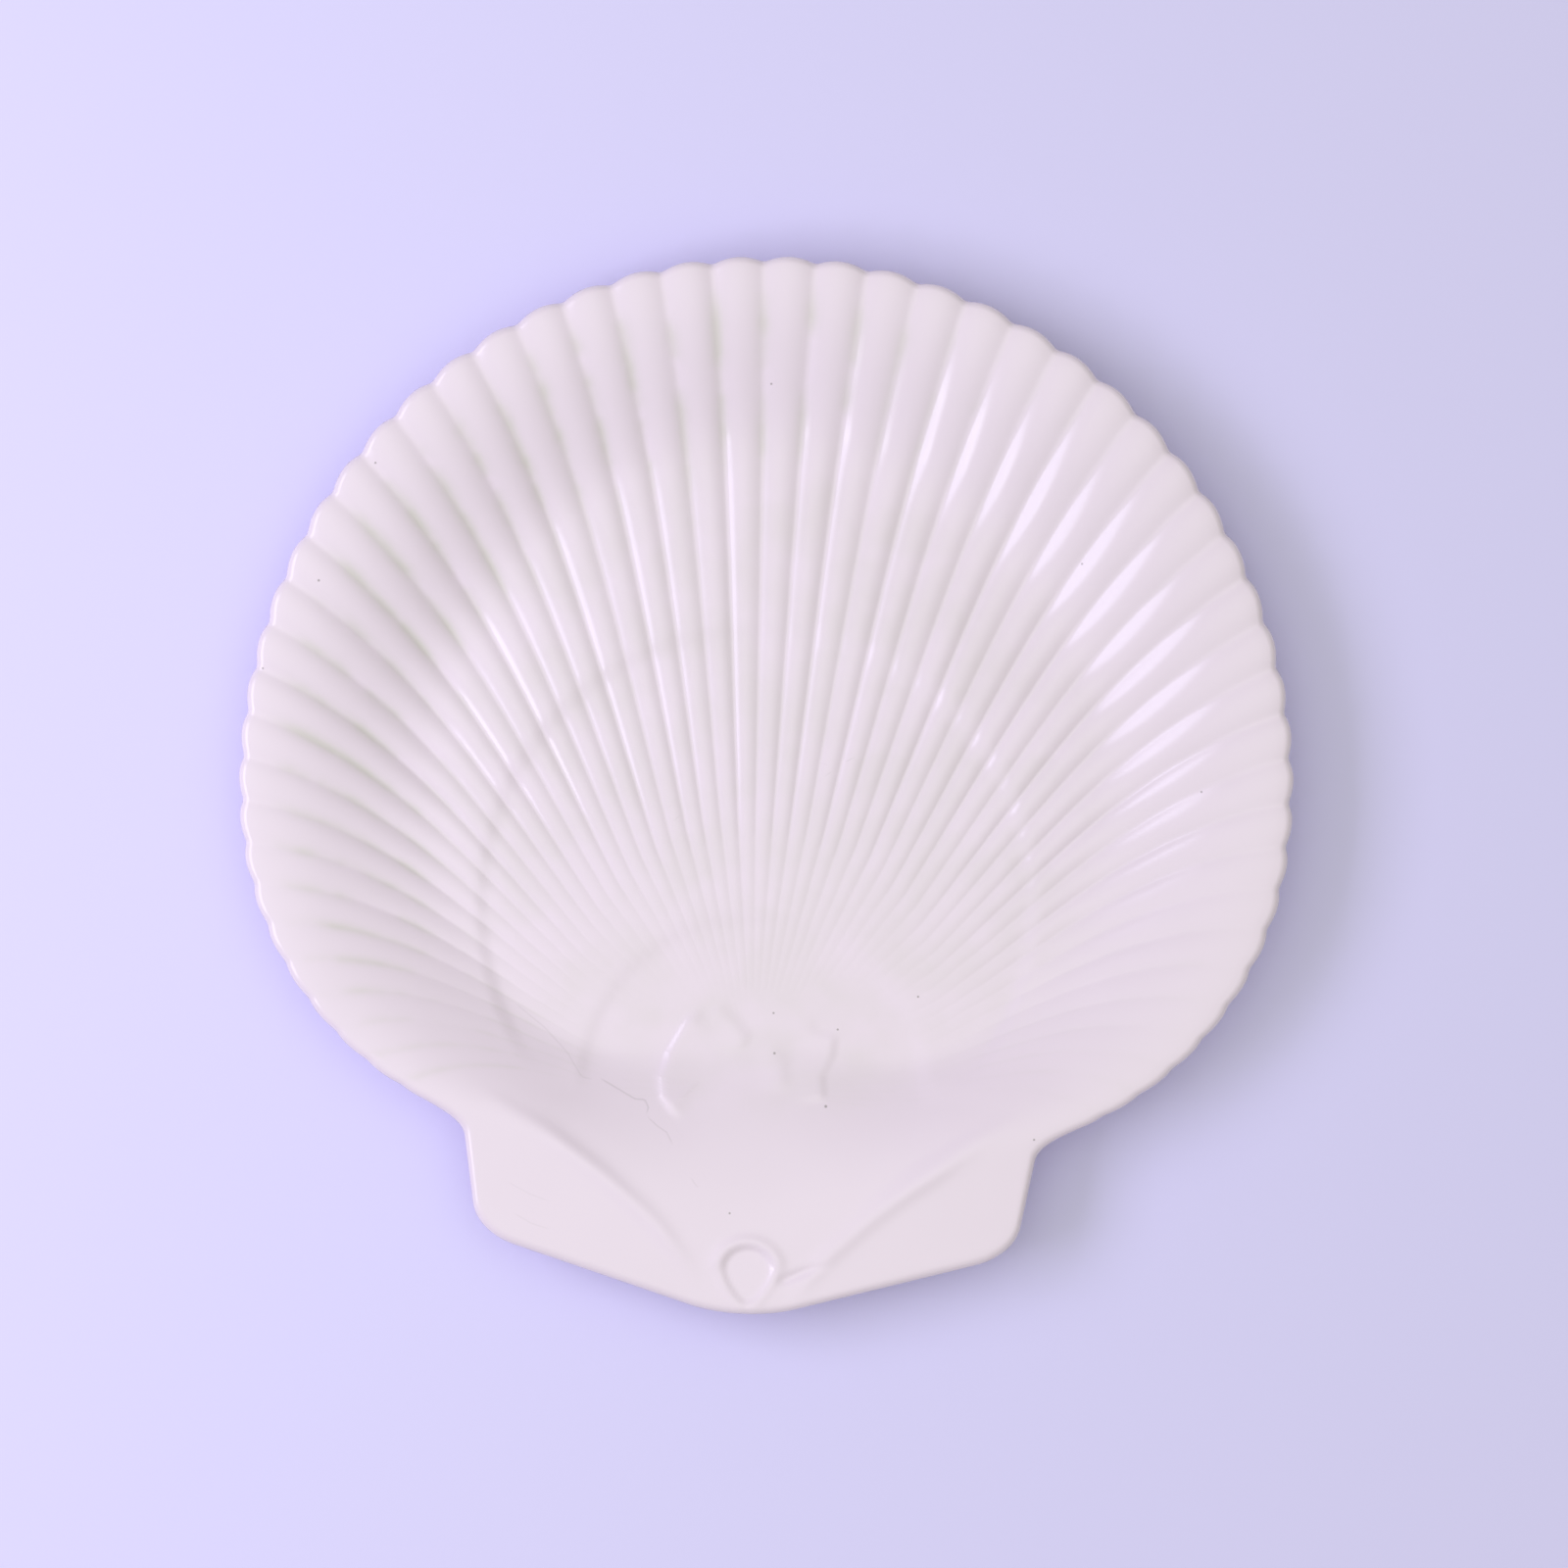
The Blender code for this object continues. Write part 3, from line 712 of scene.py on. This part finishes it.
def soft_box(name, azimuth, elevation, distance, width, height, share, colour):
    """An area light that gives the platter's middle a share of plain white light.

    The azimuth turns from the left of the picture up towards the top of the fan.
    """
    data = bpy.data.lights.new(name, "AREA")
    data.shape = "RECTANGLE"
    data.size = width
    data.size_y = height
    radiance_share = share * math.pi / math.sin(elevation)
    data.energy = radiance_share * math.pi * distance**2
    data.color = linear(colour)[:3]
    lamp = bpy.data.objects.new(name, data)
    bpy.context.scene.collection.objects.link(lamp)
    level = math.cos(elevation)
    direction = Vector((-level * math.cos(azimuth), level * math.sin(azimuth), math.sin(elevation)))
    lamp.location = direction * distance
    lamp.rotation_euler = (-direction).to_track_quat("-Z", "Y").to_euler()


soft_box(
    "key_box", azimuth=0, elevation=math.radians(44), distance=1.05,
    width=0.8, height=0.42, share=KEY_SHARE, colour="#e6e1ff",
)
soft_box(
    "streak_box", azimuth=math.radians(-27), elevation=math.radians(48), distance=1.5,
    width=0.2, height=0.2, share=STREAK_SHARE, colour="#ffffff",
)

world = bpy.data.worlds.new("white_room")
bpy.context.scene.world = world
world.use_nodes = True
sky = world.node_tree
facing = node(sky, "ShaderNodeTexCoord").outputs["Generated"]
upwards = node(sky, "ShaderNodeSeparateXYZ", {"Vector": facing}).outputs["Z"]
level_share = HORIZON_SHARE + (1 - HORIZON_SHARE) * 2 / (CEILING_FALLOFF + 2)  # what a level face gets
ceiling = ROOM_SHARE / level_share
raised = node(sky, "ShaderNodeMath", {0: upwards, 1: CEILING_FALLOFF}, operation="POWER").outputs[0]
brightness = {"Value": raised, "To Min": HORIZON_SHARE * ceiling, "To Max": ceiling}
room = node(sky, "ShaderNodeMapRange", brightness).outputs[0]
sky.links.new(room, sky.nodes["Background"].inputs["Strength"])
sky.nodes["Background"].inputs["Color"].default_value = linear("#fcfff1")
bpy.context.scene.view_settings.view_transform = "Standard"


# The camera: straight above, turned so that the platter leans as it does in the photograph.

CAMERA_HEIGHT = 1.5
VIEW_WIDTH = 400.8 * MM
PLATTER_LEAN = math.radians(2.6)
IMAGE_WIDTH = 1600
PLATTER_PIXEL = (781.9, 801.5)  # where the platter's middle is in the photograph, from its upper left corner
SENSOR_WIDTH = 36
PIXEL = VIEW_WIDTH / IMAGE_WIDTH
centre_right = (IMAGE_WIDTH / 2 - PLATTER_PIXEL[0]) * PIXEL
centre_up = (PLATTER_PIXEL[1] - IMAGE_WIDTH / 2) * PIXEL

camera_data = bpy.data.cameras.new("camera")
camera_data.sensor_width = SENSOR_WIDTH
camera_data.lens = SENSOR_WIDTH * (CAMERA_HEIGHT - RIM_HEIGHT) / VIEW_WIDTH
camera = bpy.data.objects.new("camera", camera_data)
bpy.context.scene.collection.objects.link(camera)
right = Vector((math.cos(PLATTER_LEAN), math.sin(PLATTER_LEAN), 0))
up = Vector((-math.sin(PLATTER_LEAN), math.cos(PLATTER_LEAN), 0))
camera.location = right * centre_right + up * centre_up + Vector((0, 0, CAMERA_HEIGHT))
camera.rotation_euler = (0, 0, PLATTER_LEAN)
bpy.context.scene.camera = camera
